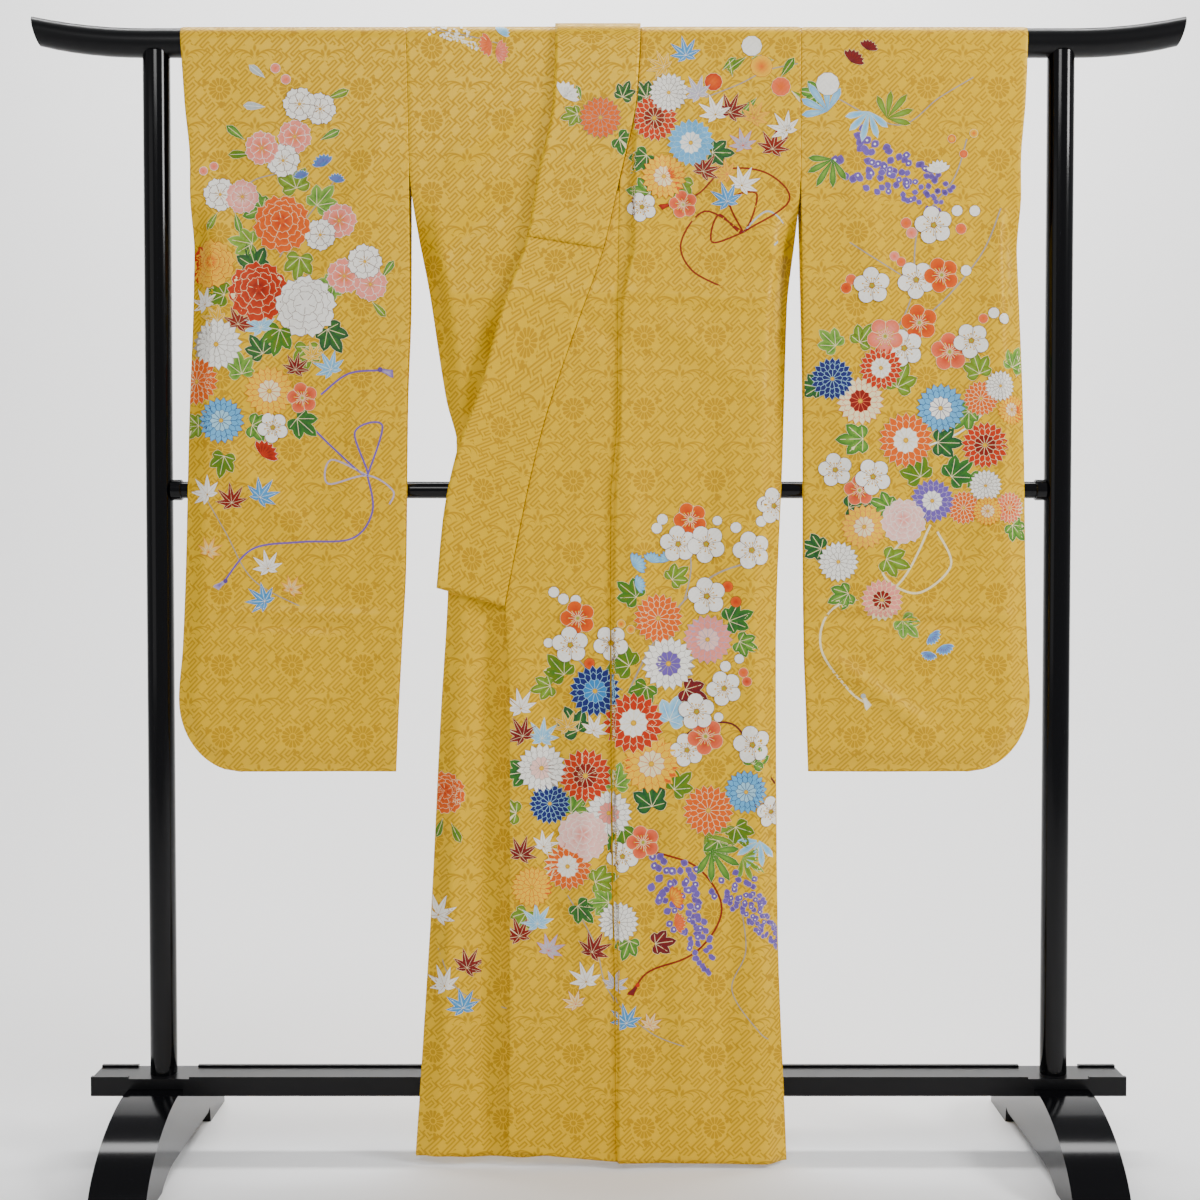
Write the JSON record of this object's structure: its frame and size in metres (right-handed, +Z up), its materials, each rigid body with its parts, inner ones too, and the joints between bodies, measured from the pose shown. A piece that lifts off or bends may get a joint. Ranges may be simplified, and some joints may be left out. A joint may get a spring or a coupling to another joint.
{
  "type": "silk kimono on a stand",
  "caption": "Long-sleeved silk kimono with its left front folded over its right, hung over the bar of a black lacquered kimono stand.",
  "frame": {"origin": "on the floor under the middle of the stand", "axes": "+Z up, -Y the garment's front, +X the wearer's left"},
  "size_m": [1.69, 0.5, 1.685],
  "materials": {
    "silk": "figured golden-yellow satin with dyed flowers",
    "gloss_lacquer": "glossy black lacquer",
    "satin_lacquer": "satin black lacquer"
  },
  "bodies": {
    "root": {"body_left": "silk", "body_right": "silk", "okumi_left": "silk", "okumi_right": "silk", "collar": "silk", "over_collar": "silk", "sleeve_left": "silk", "sleeve_right": "silk", "post_left": "gloss_lacquer", "post_right": "gloss_lacquer", "crossbar": "gloss_lacquer", "foot_left": "gloss_lacquer", "foot_right": "gloss_lacquer", "top_bar": "satin_lacquer", "base_rail": "satin_lacquer"}
  },
  "joints": []
}
